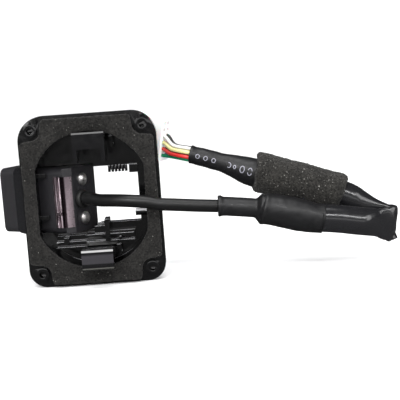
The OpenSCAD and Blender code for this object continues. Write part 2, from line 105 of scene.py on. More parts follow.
def meeting_point(p, a, q, b):
    """The middle of the shortest link between a line through p along a and one through q along b."""
    w = p - q
    ab = a.dot(b)
    s = (ab * b.dot(w) - a.dot(w)) / (1 - ab * ab)
    t = (b.dot(w) - ab * a.dot(w)) / (1 - ab * ab)
    return (p + a * s + q + b * t) / 2


# ---------------------------------------------------------------- node materials

class Shader:
    """A small builder for a node material on one Principled BSDF."""

    def __init__(self, name, colour, rough, **inputs):
        self.material = bpy.data.materials.new(name)
        self.material.use_nodes = True
        self.tree = self.material.node_tree
        self.bsdf = self.tree.nodes["Principled BSDF"]
        self.set("Base Color", (*colour, 1))
        self.set("Roughness", rough)
        for key, value in inputs.items():
            self.set(key.replace("_", " "), value)
        self.coords = self.node("ShaderNodeTexCoord").outputs["Object"]
        self.normal = None

    def node(self, kind, **values):
        made = self.tree.nodes.new(kind)
        for key, value in values.items():
            setattr(made, key, value)
        return made

    def link(self, out, into):
        self.tree.links.new(out, into)

    def set(self, name, value):
        self.bsdf.inputs[name].default_value = value

    def stretched(self, scale):
        mapping = self.node("ShaderNodeMapping")
        mapping.inputs["Scale"].default_value = scale
        self.link(self.coords, mapping.inputs["Vector"])
        return mapping.outputs["Vector"]

    def noise(self, per_metre, detail=3.0, vector=None, rough=0.55):
        made = self.node("ShaderNodeTexNoise")
        made.inputs["Scale"].default_value = per_metre
        made.inputs["Detail"].default_value = detail
        made.inputs["Roughness"].default_value = rough
        self.link(vector or self.coords, made.inputs["Vector"])
        return made.outputs["Fac"]

    def cells(self, per_metre, feature="F1", vector=None):
        made = self.node("ShaderNodeTexVoronoi", feature=feature)
        made.inputs["Scale"].default_value = per_metre
        self.link(vector or self.coords, made.inputs["Vector"])
        return made.outputs["Distance"]

    def ramp(self, fac, *stops):
        made = self.node("ShaderNodeValToRGB")
        ends = made.color_ramp.elements
        while len(ends) < len(stops):
            ends.new(0.5)
        for end, (at, colour) in zip(ends, stops):
            end.position = at
            end.color = (*colour, 1) if len(colour) == 3 else colour
        self.link(fac, made.inputs["Fac"])
        return made.outputs["Color"]

    def spread(self, fac, low, high, from_low=0.3, from_high=0.7):
        made = self.node("ShaderNodeMapRange")
        ends = {"From Min": from_low, "From Max": from_high, "To Min": low, "To Max": high}
        for key, value in ends.items():
            made.inputs[key].default_value = value
        self.link(fac, made.inputs["Value"])
        return made.outputs["Result"]

    def mix(self, fac, first, second):
        made = self.node("ShaderNodeMix", data_type="RGBA")
        for key, value in (("Factor", fac), ("A", first), ("B", second)):
            socket = made.inputs[key]
            if isinstance(value, bpy.types.NodeSocket):
                self.link(value, socket)
            elif isinstance(value, (int, float)):
                socket.default_value = value
            else:
                socket.default_value = (*value, 1)
        return made.outputs["Result"]

    def colour(self, out):
        self.link(out, self.bsdf.inputs["Base Color"])
        return self

    def rough(self, out):
        self.link(out, self.bsdf.inputs["Roughness"])
        return self

    def bump(self, height, depth_mm, strength=1.0):
        made = self.node("ShaderNodeBump")
        made.inputs["Distance"].default_value = depth_mm * MM
        made.inputs["Strength"].default_value = strength
        self.link(height, made.inputs["Height"])
        if self.normal:
            self.link(self.normal, made.inputs["Normal"])
        self.normal = made.outputs["Normal"]
        self.link(self.normal, self.bsdf.inputs["Normal"])
        return self

    def part(self, axis, vector=None):
        """One coordinate of a vector: of the position on the piece if no other is given."""
        made = self.node("ShaderNodeSeparateXYZ")
        self.link(vector or self.coords, made.inputs["Vector"])
        return made.outputs[axis]

    def combine(self, operation, first, second):
        made = self.node("ShaderNodeMath", operation=operation)
        self.link(first, made.inputs[0])
        self.link(second, made.inputs[1])
        return made.outputs["Value"]


def moulded(name, colour, rough, grain_mm=0.004, grain_per_metre=9000, gloss_spread=0.06):
    """Injection-moulded plastic: slow waviness, fine grain, uneven gloss and faint dust."""
    s = Shader(name, colour, rough, IOR=1.5)
    waves = s.noise(160, 2)
    s.rough(s.spread(s.noise(420, 4), rough - gloss_spread, rough + gloss_spread))
    dust = s.spread(s.noise(2600, 5, rough=0.7), 0, 0.35, 0.66, 0.8)
    lighter = tuple(c * 2.2 + 0.006 for c in colour)
    s.colour(s.mix(dust, colour, lighter))
    s.bump(waves, 0.06, 0.5)
    s.bump(s.noise(grain_per_metre, 3), grain_mm)
    return s.material


def lit_edges(s, base, bright, from_y):
    """Colours the upper front edges deeper than a Y position as if they caught a line of light."""
    bevel = s.node("ShaderNodeBevel", samples=6)
    bevel.inputs["Radius"].default_value = 0.3 * MM
    across = s.node("ShaderNodeVectorMath", operation="DOT_PRODUCT")
    s.link(bevel.outputs["Normal"], across.inputs[0])
    across.inputs[1].default_value = (0, -0.66, 0.75)
    edge = s.spread(across.outputs["Value"], 0, 1, 0.86, 0.96)
    deep = s.spread(s.part("Y"), 0, 1, from_y, from_y + 1 * MM)
    s.colour(s.mix(s.combine("MULTIPLY", edge, deep), base, bright))
    return s.material


def banded_clip(name, colour, rough, low, high):
    """Gloss black, with coloured bands on front faces between two heights, as if they reflected."""
    s = Shader(name, colour, rough, IOR=1.5)
    up = s.spread(s.part("Z"), 0, 1, low, high)
    grey, pale, white = (0.024, 0.023, 0.026), (0.055, 0.055, 0.05), (0.3, 0.3, 0.3)
    bands = s.ramp(up, (0.0, colour), (0.03, pale), (0.1, pale), (0.14, colour), (0.28, colour), (0.36, grey),
                   (0.7, grey), (0.8, colour), (0.87, colour), (0.9, white), (0.96, white), (1.0, colour))
    facing = s.part("Y", s.node("ShaderNodeNewGeometry").outputs["Normal"])
    front = s.spread(facing, 1, 0, -0.95, -0.6)
    s.colour(s.mix(front, colour, bands))
    s.rough(s.spread(s.noise(420, 4), rough - 0.05, rough + 0.05))
    s.bump(s.noise(160, 2), 0.06, 0.5)
    return s.material


def foam(name, dark, light, cell_per_metre, glints=0.72):
    """Open-cell foam: pores painted darker than the lighter struts, as shade in the holes, with painted glints
    where cut cells would catch the light.
    """
    s = Shader(name, dark, 0.9, Specular_IOR_Level=0.1, Sheen_Weight=0.05, Sheen_Roughness=0.6)
    pores = s.cells(cell_per_metre)
    grain = s.noise(cell_per_metre * 1.1, 4, rough=0.8)
    patches = s.noise(cell_per_metre * 0.16, 4, rough=0.65)
    # Painted shade: the pore centres are coloured at a third of the dark tone, as shade in the holes.
    wall = s.ramp(pores, (0.15, tuple(c * 0.3 for c in dark)), (0.5, dark), (0.75, light))
    mottled = s.mix(s.spread(grain, 0, 1, 0.4, 0.62), wall, tuple(c * 1.35 for c in light))
    tone = s.mix(s.spread(patches, 0, 0.55, 0.35, 0.65), mottled, tuple(c * 0.5 for c in dark))
    # Painted glints: sparse bright specks of pale grey stand in for cut cells catching the light.
    painted_glint = s.spread(s.noise(cell_per_metre * 1.25, 1), 0, 1, glints, glints + 0.04)
    s.colour(s.mix(painted_glint, tone, (0.22, 0.215, 0.2)))
    s.bump(pores, 0.3, 1.0)
    s.bump(grain, 0.2, 1.0)
    return s.material


def pvc(name, colour, rough, streak=0.015, shine=0.5):
    """Extruded or shrunk PVC: faint lengthwise streaks, patchy gloss and small dents."""
    s = Shader(name, colour, rough, IOR=1.52, Specular_IOR_Level=shine)
    s.rough(s.spread(s.noise(600, 4), rough * 0.8, rough * 1.25))
    scuffs = s.spread(s.noise(1800, 5, rough=0.7), 0, 0.5, 0.6, 0.8)
    s.colour(s.mix(scuffs, colour, tuple(c * 1.8 + 0.01 for c in colour)))
    s.bump(s.noise(900, 3, s.stretched((0.12, 1, 1))), streak)
    s.bump(s.noise(5200, 3), streak * 0.25)
    return s.material


def folded_plate(name, colour, rough, shade_from, shade_to):
    """Plated sheet with a painted dark reflection of the case on its bend, between two X positions."""
    s = Shader(name, colour, rough, Metallic=1.0)
    soft = 0.2 * MM
    x = s.part("X")
    after = s.spread(x, 0, 1, shade_from - soft, shade_from + soft)
    past = s.spread(x, 0, 1, shade_to - soft, shade_to + soft)
    # Painted reflection: between shade_from and shade_to the colour goes near black, standing in for the dark case
    # the bend would reflect.
    bend = s.combine("SUBTRACT", after, past)
    stained = s.mix(s.spread(s.noise(700, 5), 0, 0.5), colour, tuple(c * 0.72 for c in colour))
    s.colour(s.mix(bend, stained, (0.012, 0.008, 0.01)))
    s.rough(s.spread(s.noise(1500, 4), rough * 0.75, rough * 1.35))
    s.bump(s.noise(2500, 3, s.stretched((3, 3, 0.05))), 0.008)
    return s.material


def metal(name, colour, rough, brush=None):
    s = Shader(name, colour, rough, Metallic=1.0)
    s.rough(s.spread(s.noise(1500, 4), rough * 0.75, rough * 1.35))
    s.colour(s.mix(s.spread(s.noise(700, 5), 0, 0.5), colour, tuple(c * 0.72 for c in colour)))
    if brush:
        s.bump(s.noise(2500, 3, s.stretched(brush)), 0.008)
    else:
        s.bump(s.noise(3500, 3), 0.004)
    return s.material


def nylon(name, colour):
    s = Shader(name, colour, 0.38, Subsurface_Weight=0.25, Subsurface_Scale=0.002)
    s.rough(s.spread(s.noise(800, 4), 0.3, 0.46))
    s.colour(s.mix(s.spread(s.noise(300, 3), 0, 0.5), colour, tuple(c * 0.93 for c in colour)))
    s.bump(s.noise(4200, 3), 0.006)
    return s.material


def board(name):
    """Solder mask with tracks and pads under it."""
    s = Shader(name, (0.01, 0.09, 0.035), 0.3)
    tracks = s.cells(900, "DISTANCE_TO_EDGE")
    s.colour(s.ramp(tracks, (0.0, (0.02, 0.2, 0.08)), (0.06, (0.01, 0.09, 0.035))))
    s.bump(tracks, 0.02)
    return s.material


def glass(name, tint, rough=0.02):
    s = Shader(name, tint, rough, Transmission_Weight=1.0, IOR=1.6)
    s.set("Coat Weight", 0.6)
    s.link(s.ramp(s.node("ShaderNodeLayerWeight").outputs["Facing"],
                  (0.0, (0.25, 0.2, 0.6)), (0.5, (0.1, 0.45, 0.35)), (1.0, (0.5, 0.3, 0.6))),
           s.bsdf.inputs["Coat Tint"])
    s.rough(s.spread(s.noise(500, 3), rough, rough * 2))
    return s.material


WIRE_COLOURS = {
    "wire_red": (0.5, 0.02, 0.018), "wire_white": (0.62, 0.62, 0.6), "wire_black": (0.015, 0.015, 0.015),
    "wire_pink": (0.6, 0.2, 0.32), "wire_green": (0.0, 0.17, 0.075), "wire_blue": (0.012, 0.06, 0.3),
    "wire_brown": (0.11, 0.045, 0.022), "wire_yellow": (0.56, 0.53, 0.24)}

CLIP_Z = [float(f(points_of("lower_clip")[:, 2])) for f in (np.min, np.max)]


def gloss_bezel():
    """The bezel's near-black gloss, with light on the edges inside its well."""
    s = Shader("bezel_gloss", (0.0022, 0.0022, 0.0024), 0.12, IOR=1.5)
    s.rough(s.spread(s.noise(420, 4), 0.06, 0.18))
    s.bump(s.noise(160, 2), 0.06, 0.5)
    s.bump(s.noise(9000, 3), 0.004)
    return lit_edges(s, (0.0026, 0.0026, 0.0028), (0.55, 0.55, 0.57), 1.5 * MM)


# The shield's bend, where folded_plate paints a dark reflection of the case.
SHIELD_X = float(points_of("shield_plate")[:, 0].max())
SHIELD_BEND = (SHIELD_X - 3.85 * MM, SHIELD_X - 2.35 * MM)
SLOTS = {
    "bezel_black": gloss_bezel(),
    "cover_black": moulded("cover_gloss", (0.007, 0.007, 0.008), 0.2),
    "clip_black": banded_clip("clip_gloss", (0.003, 0.003, 0.0034), 0.12, *CLIP_Z),
    "gasket_foam": foam("gasket_foam", (0.0046, 0.0044, 0.0042), (0.0155, 0.0148, 0.0138), 1500, 0.74),
    "camera_black": moulded("camera_satin", (0.0135, 0.013, 0.015), 0.42, 0.012, 5200),
    "ring_black": moulded("ring_gloss", (0.004, 0.004, 0.004), 0.12),
    "seal_rubber": pvc("seal_rubber", (0.005, 0.005, 0.005), 0.5),
    "screw_steel": metal("screw_nickel", (0.78, 0.76, 0.75), 0.36),
    "shield_metal": folded_plate("shield_plate", (0.3, 0.245, 0.27), 0.32, *SHIELD_BEND),
    "jacket_black": pvc("jacket_black", (0.004, 0.004, 0.0042), 0.4, 0.006, 0.32),
    "lens_glass": glass("lens_glass", (0.9, 0.95, 1.0)),
    "filter_glass": glass("filter_glass", (0.5, 0.85, 0.9)),
    "chip_black": moulded("chip_black", (0.02, 0.025, 0.04), 0.1),
    "board_green": board("board_green"),
    "pillar_brass": metal("pillar_brass", (0.75, 0.55, 0.25), 0.3),
    "plug_white": nylon("plug_white", (0.83, 0.83, 0.815)),
    "copper_core": metal("copper_core", (0.8, 0.42, 0.28), 0.35, (1, 12, 12)),
    "crimp_tin": metal("crimp_tin", (0.7, 0.7, 0.7), 0.3),
    "wire_mixed": pvc("wire_mixed", (0.2, 0.2, 0.2), 0.4),
    "shrink_black": pvc("shrink_black", (0.005, 0.005, 0.0057), 0.46, 0.015, 0.38),
    "tube_black": pvc("tube_black", (0.0085, 0.0085, 0.0095), 0.2, 0.002),
    "wrap_foam": foam("wrap_foam", (0.0064, 0.0061, 0.0056), (0.0225, 0.0213, 0.0192), 1500, 0.7),
    **{name: pvc(name, colour, 0.36) for name, colour in WIRE_COLOURS.items()}}
MARK_INK = pvc("mark_ink", (0.2, 0.2, 0.235), 0.6)


# ---------------------------------------------------------------- mesh helpers

def make_object(name, verts, faces, slot, smooth=True):
    mesh = bpy.data.meshes.new(name)
    mesh.from_pydata([tuple(v) for v in verts], [], faces)
    mesh.update()
    mesh.materials.append(SLOTS.get(slot, MARK_INK))
    for polygon in mesh.polygons:
        polygon.use_smooth = smooth
    made = bpy.data.objects.new(name, mesh)
    bpy.context.scene.collection.objects.link(made)
    return made


def spline(knots, step):
    """A smooth path through the knots, with points about step apart."""
    pts = [knots[0] * 2 - knots[1], *knots, knots[-1] * 2 - knots[-2]]
    out = []
    for a, b, c, d in zip(pts, pts[1:], pts[2:], pts[3:]):
        count = max(2, int((c - b).length / step))
        for i in range(count):
            t = i / count
            out.append(0.5 * (2 * b + (c - a) * t + (2 * a - 5 * b + 4 * c - d) * t * t
                              + (3 * b - a - 3 * c + d) * t ** 3))
    return out + [knots[-1]]


def frames_along(path, up=UP):
    """For each point of a path: itself, its tangent, side and up vectors, and the distance so far."""
    rows, done = [], 0.0
    for i, p in enumerate(path):
        ahead = path[min(i + 1, len(path) - 1)]
        behind = path[max(i - 1, 0)]
        t = (ahead - behind).normalized()
        b = (up - t * up.dot(t)).normalized()
        if i:
            done += (p - path[i - 1]).length
        rows.append((p, t, b.cross(t), b, done))
    return rows


def grid_faces(rings, around, close=False):
    count = rings if close else rings - 1
    faces = []
    for i in range(count):
        for k in range(around):
            a, b = i * around + k, i * around + (k + 1) % around
            n = ((i + 1) % rings) * around
            faces.append((a, b, n + (k + 1) % around, n + k))
    return faces


def sleeve(name, rows, outline, wall, slot, around=72):
    """A closed sleeve of even wall along frames_along() rows.

    outline(distance, angle) gives the reach of its skin to the side, up and along.
    """
    rings = []
    for p, t, n, b, s in rows:
        ring = []
        for k in range(around):
            angle = 2 * math.pi * k / around
            x, z, slip = outline(s, angle)
            ring.append((p + n * x + b * z + t * slip, p))
        rings.append(ring)
    outer = [[q for q, _ in ring] for ring in rings]
    inner = [[q + (p - q).normalized() * min(wall, (p - q).length * 0.8) for q, p in ring] for ring in rings]
    lip_in = wall * 0.35

    def rounded(first, second, inward):
        """A middle ring that rounds the sleeve's cut end."""
        return [(a + b) / 2 - inward * lip_in for a, b in zip(first, second)]

    start = rounded(outer[0], inner[0], rows[0][1])
    end = rounded(outer[-1], inner[-1], -rows[-1][1])
    loops = [start, *outer, end, *reversed(inner)]
    verts = [q for ring in loops for q in ring]
    return make_object(name, verts, grid_faces(len(loops), around, close=True), slot)


def rod(name, path, radius, slot, around=24, up=UP):
    """A solid round rod along a path, with closed domed ends."""
    rows = frames_along(path, up)
    loops = []
    for i, (p, t, n, b, s) in enumerate(rows):
        turns = [2 * math.pi * k / around for k in range(around)]
        circle = [(math.cos(a), math.sin(a)) for a in turns]
        if i == 0:
            loops.append([p - t * radius * 0.2 + (n * c + b * d) * radius * 0.7 for c, d in circle])
        loops.append([p + (n * c + b * d) * radius for c, d in circle])
        if i == len(rows) - 1:
            loops.append([p + t * radius * 0.2 + (n * c + b * d) * radius * 0.7 for c, d in circle])
    verts = [q for ring in loops for q in ring]
    faces = grid_faces(len(loops), around)
    faces.append(tuple(reversed(range(around))))
    last = (len(loops) - 1) * around
    faces.append(tuple(last + k for k in range(around)))
    return make_object(name, verts, faces, slot)


def ripple(x, y, z, scale, seed):
    return noise.noise(Vector((x * scale + seed * 7.3, y * scale - seed * 3.1, z * scale + seed)))


def smoothstep(x, low, high):
    t = min(1.0, max(0.0, (x - low) / (high - low)))
    return t * t * (3 - 2 * t)


def applied(obj):
    """Applies an object's modifiers to its mesh."""
    dg = bpy.context.evaluated_depsgraph_get()
    mesh = bpy.data.meshes.new_from_object(obj.evaluated_get(dg))
    obj.modifiers.clear()
    obj.data = mesh
    return obj


def modifier(obj, kind, **values):
    made = obj.modifiers.new(kind.lower(), kind)
    for key, value in values.items():
        setattr(made, key, value)
    return made


def finish_moulding(node, slot, bevel_mm, segments=2):
    """Keeps a CAD node's shape, and gives it its finish and soft moulded edges."""
    obj = NODES[node]
    obj.data.materials.clear()
    obj.data.materials.append(SLOTS[slot])
    modifier(obj, "WELD", merge_threshold=WELD_GAP)
    if bevel_mm:
        modifier(obj, "BEVEL", width=bevel_mm * MM, segments=segments, limit_method="ANGLE",
                 angle_limit=math.radians(34), harden_normals=False, use_clamp_overlap=True)
    for polygon in obj.data.polygons:
        polygon.use_smooth = True
    modifier(obj, "WEIGHTED_NORMAL", keep_sharp=True, weight=60)


# ---------------------------------------------------------------- rigid parts

BEVELS = {
    "bezel": 0.28, "front_cover": 0.45, "upper_clip": 0.25, "lower_clip": 0.25, "camera_body": 0.3,
    "lens_hood": 0.5, "hood_ring": 0.15, "rear_cover": 0.3, "rear_screws": 0.1, "shield_plate": 0.08,
    "cable_boot": 0.3, "lens_barrel": 0.2, "lens_retainer": 0.12, "plug_housing": 0.16, "plug_latch": 0.15,
    "terminal_lock": 0.12, "board_socket": 0.15, "sensor_board": 0.06, "interface_board": 0.06,
    "image_sensor": 0.08, "plug_terminals": 0.06, "board_pillars": 0.1, "splice_crimps": 0.1}
SLOT_OF = {row["node"]: row["material_slot"] for row in frame["record"]["subparts"]}
for node_name in NODES:
    finish_moulding(node_name, SLOT_OF[node_name], BEVELS.get(node_name, 0))


# ---------------------------------------------------------------- soft gasket

def soft_copy(node, name, slot, voxel_mm, cell_per_metre, depth_mm, seed):
    """A remeshed copy of a foam node: soft edges, a wavy cut and open cells in its surface."""
    made = bpy.data.objects.new(name, NODES[node].data.copy())
    bpy.context.scene.collection.objects.link(made)
    modifier(made, "WELD", merge_threshold=WELD_GAP)
    modifier(made, "REMESH", mode="VOXEL", voxel_size=voxel_mm * MM)
    applied(made)
    modifier(made, "SMOOTH", factor=0.5, iterations=4)
    applied(made)
    made.data.materials.clear()
    made.data.materials.append(SLOTS[slot])
    normals = [v.normal.copy() for v in made.data.vertices]
    for v, n in zip(made.data.vertices, normals):
        x, y, z = v.co
        wave = ripple(x, y, z, 130, seed) * 0.22
        cells = ripple(x, y, z, cell_per_metre, seed + 3)
        cells = cells + 0.6 * ripple(x, y, z, cell_per_metre * 2.1, seed + 5)
        v.co += n * (wave + cells * depth_mm - depth_mm * 0.5) * MM
    for polygon in made.data.polygons:
        polygon.use_smooth = True
    return made


gasket = soft_copy("foam_gasket", "gasket_foam_ring", "gasket_foam", 0.34, 1500, 0.2, 4)
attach(gasket, "bezel_and_camera")
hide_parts("foam_gasket")


# ---------------------------------------------------------------- lead and sleeves

LEG_MID, LEG_DIR = long_axis("lead_shrink", Vector((1, 0, 0)))
LEG_FROM, LEG_TO = reach("lead_shrink", LEG_MID, LEG_DIR)
WRAP_MID, BACK_DIR = long_axis("foam_wrap", Vector((-1, 0, 0)))
WRAP_FROM, WRAP_TO = reach("foam_wrap", WRAP_MID, BACK_DIR)
WRAP_R = radius_of("foam_wrap", WRAP_MID, BACK_DIR)
SWING = Vector(JOINTS["lead_lift"]["pos_m"])
FOLD = Vector(JOINTS["fold_open"]["pos_m"])
MOUTH = Vector(JOINTS["plug_bend"]["pos_m"])
STUB_MID, STUB_DIR = long_axis("lead_stub", Vector((1, -1, 0)))
LEAD_R = radius_of("lead_stub", STUB_MID, STUB_DIR)
SHRINK_START = LEG_MID + LEG_DIR * LEG_FROM


def leg_point(mm, across=0.0, up=0.0):
    """A point on the front leg, in mm from the start of its shrink, and to its sides."""
    side = UP.cross(LEG_DIR).normalized()
    return SHRINK_START + LEG_DIR * mm * MM + side * across * MM + LEG_DIR.cross(side) * up * MM


BOW_MM = 1.5


def bow(mm):
    """How far the lead is bowed above its straight CAD line, in mm, at a distance along the leg."""
    return BOW_MM * smoothstep(mm, -24, 12) * (1 - smoothstep(mm, 17, 34))


def lead_path():
    """Out of the camera's back, round the bend and along the front leg, into the first sleeve."""
    stub_end = SWING - STUB_DIR * 4.6 * MM
    corner = meeting_point(SWING, STUB_DIR, SHRINK_START, LEG_DIR)
    back = 8.9 * MM
    knots = [stub_end, SWING, corner - STUB_DIR * (back + 4 * MM), corner - STUB_DIR * back * 0.98]
    for t in (0.25, 0.5, 0.75):
        a, b = corner - STUB_DIR * back, corner + LEG_DIR * back
        knots.append(a * (1 - t) ** 2 + corner * 2 * t * (1 - t) + b * t ** 2)
    start = (corner + LEG_DIR * back - SHRINK_START).dot(LEG_DIR) / MM
    stops = [start + (6 - start) * i / 5 for i in range(6)]
    knots += [leg_point(mm, 0, bow(mm)) for mm in stops]
    return spline(knots, 0.5 * MM)


lead = rod("lead_jacket", lead_path(), LEAD_R, "jacket_black", 40)
for v in lead.data.vertices:
    v.co += Vector((0, 0, 0.1 * MM)) * ripple(*v.co, 90, 2)
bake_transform(lead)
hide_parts("lead_cable")

# The shrink over the splices: a thin start, a shoulder with a crease, and a wide satin end
STEP_AT = 13.2
SLEEVE_STEP = 0.3
WIDE_TO = (LEG_TO - LEG_FROM) / MM


def shrink_reach(s, angle):
    """The first sleeve's reach: narrow over the lead, and swollen over the splices."""
    mm = s / MM
    thin = 3.32 - 0.15 * smoothstep(mm, 0.4, 1.8) + 0.22 * math.exp(-((mm - 0.5) / 0.5) ** 2)
    swell = smoothstep(mm, STEP_AT - 1.2, STEP_AT + 1.2)
    late = smoothstep(mm, STEP_AT + 1.0, STEP_AT + 9)
    below = max(0.0, -math.sin(angle))
    wide = (5.2 + 0.3 * math.exp(-((mm - 25) / 6) ** 2) - 0.35 * smoothstep(mm, 27, WIDE_TO)
            + 0.2 * below * late)
    r = thin * (1 - swell) + wide * swell
    crease = math.exp(-((mm - STEP_AT - 1.1 - 0.9 * math.sin(angle + 0.6)) / 0.42) ** 2)
    r -= 0.42 * crease * (0.55 + 0.45 * math.cos(angle - 2.6))
    r += 0.22 * math.exp(-((mm - STEP_AT - 2.1 - 0.9 * math.sin(angle + 0.6)) / 0.8) ** 2)
    bumps = 0.09 * ripple(mm * 0.16, math.cos(angle), math.sin(angle), 1.9, 5) * swell
    bumps += 0.05 * ripple(mm * 0.5, math.cos(angle) * 2, math.sin(angle) * 2, 1.4, 8)
    splices = 0.16 * math.cos(8 * angle + 0.8) * swell * (1 - smoothstep(mm, 24, 30))
    r += bumps + splices * 0.2
    squeeze = 1 + 0.05 * swell * math.cos(2 * angle + 0.9)
    slip = 0.35 * math.sin(angle + 2.4) if mm < 0.6 else 0
    slip += 0.45 * math.sin(angle + 1.2) if mm > WIDE_TO - 0.6 else 0
    return r * squeeze * math.cos(angle) * MM, r * squeeze * math.sin(angle) * MM, slip * MM


shrink_stops = [i * SLEEVE_STEP for i in range(int(WIDE_TO / SLEEVE_STEP) + 1)]
shrink_rows = frames_along([leg_point(mm, 0, bow(mm)) for mm in shrink_stops])
shrink = sleeve("splice_sleeve", shrink_rows, shrink_reach, 0.55 * MM, "shrink_black", 96)
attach(shrink, "front_leg")
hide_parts("lead_shrink")

# The folded sleeving: along the front leg, pinched flat round the fold, and back up to the foam
PLAIN_R, FLAT_H, FLAT_T = 4.7, 6.15, 1.25
FOLD_R = 2.3
FOLD_LEAN = math.radians(13)
FOLD_UP = Vector((math.sin(FOLD_LEAN), 0, math.cos(FOLD_LEAN)))
FOLD_OUT = Vector((math.cos(FOLD_LEAN), 0, -math.sin(FOLD_LEAN)))


def on_back(mm, across=0.0, up=0.0):
    """A point on the return leg, in mm from the end of the foam wrap nearest the fold."""
    side = UP.cross(BACK_DIR).normalized()
    return WRAP_MID + BACK_DIR * (WRAP_FROM + mm * MM) + side * across * MM + BACK_DIR.cross(side) * up * MM


def fold_path():
    """The centreline of the folded sleeving, as points in metres."""
    centre = FOLD + Vector((0.15, 0, -1.7)) * MM
    knots = [leg_point(WIDE_TO - 5), leg_point(WIDE_TO + 1, 0, 0.25),
             leg_point(WIDE_TO + 6, 0.1, 0.35), leg_point(WIDE_TO + 11.5, 0.35, 0.2)]
    for turn in (-90, -45, 0, 45, 90):
        a = math.radians(turn)
        sideways = Vector((0, FOLD_R * math.sin(a) * MM, 0))
        knots.append(centre + FOLD_OUT * FOLD_R * math.cos(a) * MM + sideways)
    knots += [on_back(-7.5, -0.3, -1.9), on_back(-3.6, -0.1, -0.5), on_back(0.5), on_back(5)]
    return spline(knots, 0.28 * MM)


fold_rows = frames_along(fold_path(), FOLD_UP)
APEX_S = max(fold_rows, key=lambda row: row[0].x)[4] / MM


def fold_reach(s, angle):
    """The sleeving's reach: round on the legs, and a flat blade with a leaning pinch at the fold."""
    mm = s / MM - APEX_S
    flat = smoothstep(mm, -13, -3.2) if mm < 0 else 1 - smoothstep(mm, 3.5, 16)
    tall = smoothstep(mm, -8, -1) if mm < 0 else 1 - smoothstep(mm, 1, 12)
    high = PLAIN_R + (FLAT_H - PLAIN_R) * tall
    thick = PLAIN_R + (FLAT_T - PLAIN_R) * flat
    c, d = math.cos(angle), math.sin(angle)
    x = thick * math.copysign(abs(c) ** (1 - 0.28 * flat), c)
    z = high * math.copysign(abs(d) ** (1 - 0.12 * flat), d)
    pinch = math.exp(-((mm + 5.2 + 0.5 * z) / 1.3) ** 2)
    x -= 0.6 * pinch * flat * math.copysign(1, c) * abs(c)
    ridge = math.exp(-((mm + 1.6 + 0.5 * z) / 0.8) ** 2)
    x += 0.35 * ridge * flat * math.copysign(1, c) * abs(c)
    dent = math.exp(-((mm - 6.5) / 3.2) ** 2) + 0.6 * math.exp(-((mm + 9.5) / 3) ** 2)
    x -= 0.35 * dent * c * math.exp(-((d - 0.15) / 0.5) ** 2) * flat
    x += 0.04 * ripple(mm * 0.1, c, d, 1.5, 11)
    return x * MM, z * MM, 0.0


fold = sleeve("folded_sleeving", fold_rows, fold_reach, 0.45 * MM, "tube_black", 96)
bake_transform(fold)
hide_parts("lead_tube", "return_tube")


# ---------------------------------------------------------------- foam wrap and marked sleeve

WRAP_LEN = (WRAP_TO - WRAP_FROM) / MM
WRAP_STEP = 0.22


def wrap_reach(s, angle):
    """The foam wrap's reach: a soft rolled sheet with slanted, ragged ends and open cells."""
    mm = s / MM
    c, d = math.cos(angle), math.sin(angle)
    r = WRAP_R / MM - 0.15
    r += 0.3 * ripple(mm * 0.09, c, d, 1.1, 21) + 0.12 * ripple(mm * 0.35, c * 2, d * 2, 1.2, 23)
    r += 0.17 * ripple(mm, r * c, r * d, 0.95, 25) + 0.12 * ripple(mm, r * c, r * d, 1.9, 27)
    r -= 0.35 * (math.exp(-(mm / 0.45) ** 2) + math.exp(-((WRAP_LEN - mm) / 0.45) ** 2))
    seam = math.exp(-((math.sin(angle / 2 - 2.2)) / 0.06) ** 2)
    r -= 0.5 * seam
    start_slant = -0.65 * d + 0.6 * ripple(c, d, 0, 2.1, 31)
    end_slant = 0.5 * d - 0.3 * c + 0.6 * ripple(c, d, 1, 2.3, 33)
    slip = start_slant * (1 - smoothstep(mm, 0, 7)) + end_slant * smoothstep(mm, WRAP_LEN - 7, WRAP_LEN)
    return r * c * MM, 0.98 * r * d * MM, slip * MM


wrap_rows = frames_along([on_back(i * WRAP_STEP) for i in range(int(WRAP_LEN / WRAP_STEP) + 1)])
wrap = sleeve("foam_wrap_roll", wrap_rows, wrap_reach, 2.0 * MM, "wrap_foam", 220)
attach(wrap, "return_leg")
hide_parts("foam_wrap")

TUCKED_IN = 5
mark_from = on_back(WRAP_LEN - TUCKED_IN)
MARK_LEN = (MOUTH - mark_from).length / MM


def marked_reach(s, angle):
    """The second sleeve's reach: wide where it leaves the foam, narrow at its mouth, with a rolled lip."""
    mm = s / MM
    narrow = smoothstep(mm, 5.5, 19)
    r = 4.9 + (3.35 - 4.9) * narrow
    c, d = math.cos(angle), math.sin(angle)
    r -= 0.12 * smoothstep(mm, MARK_LEN - 8, MARK_LEN - 1)
    r += 0.14 * math.exp(-((mm - MARK_LEN + 0.35) / 0.4) ** 2)
    r += 0.14 * ripple(mm * 0.2, c, d, 1.6, 41) + 0.04 * ripple(mm * 0.7, c * 2, d * 2, 1.4, 43)
    up = r * d * (1 - 0.06 * narrow)
    lean = -0.55 * (1 - narrow) * smoothstep(mm, 0, 6)
    slip = 0.35 * math.sin(angle + 0.8) if mm > MARK_LEN - 0.6 else 0.0
    return r * c * MM, (up + lean) * MM, slip * MM


mark_dir = (MOUTH - mark_from).normalized()
mark_stops = range(int(MARK_LEN / SLEEVE_STEP) + 1)
mark_rows = frames_along([mark_from + mark_dir * i * SLEEVE_STEP * MM for i in mark_stops])
marked = sleeve("marked_sleeve", mark_rows, marked_reach, 0.5 * MM, "shrink_black", 80)
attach(marked, "return_leg")
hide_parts("marked_shrink")

# Plain rings and arcs, in place of the characters printed on the real sleeve
INK_LIFTS = (-0.05, 0.035)
INK_WIDTH = 0.27
MEAN_R = 4.0


def mark_row(mm):
    """The row of the marked sleeve nearest to a distance along it."""
    return mark_rows[min(len(mark_rows) - 1, int(mm / SLEEVE_STEP))]


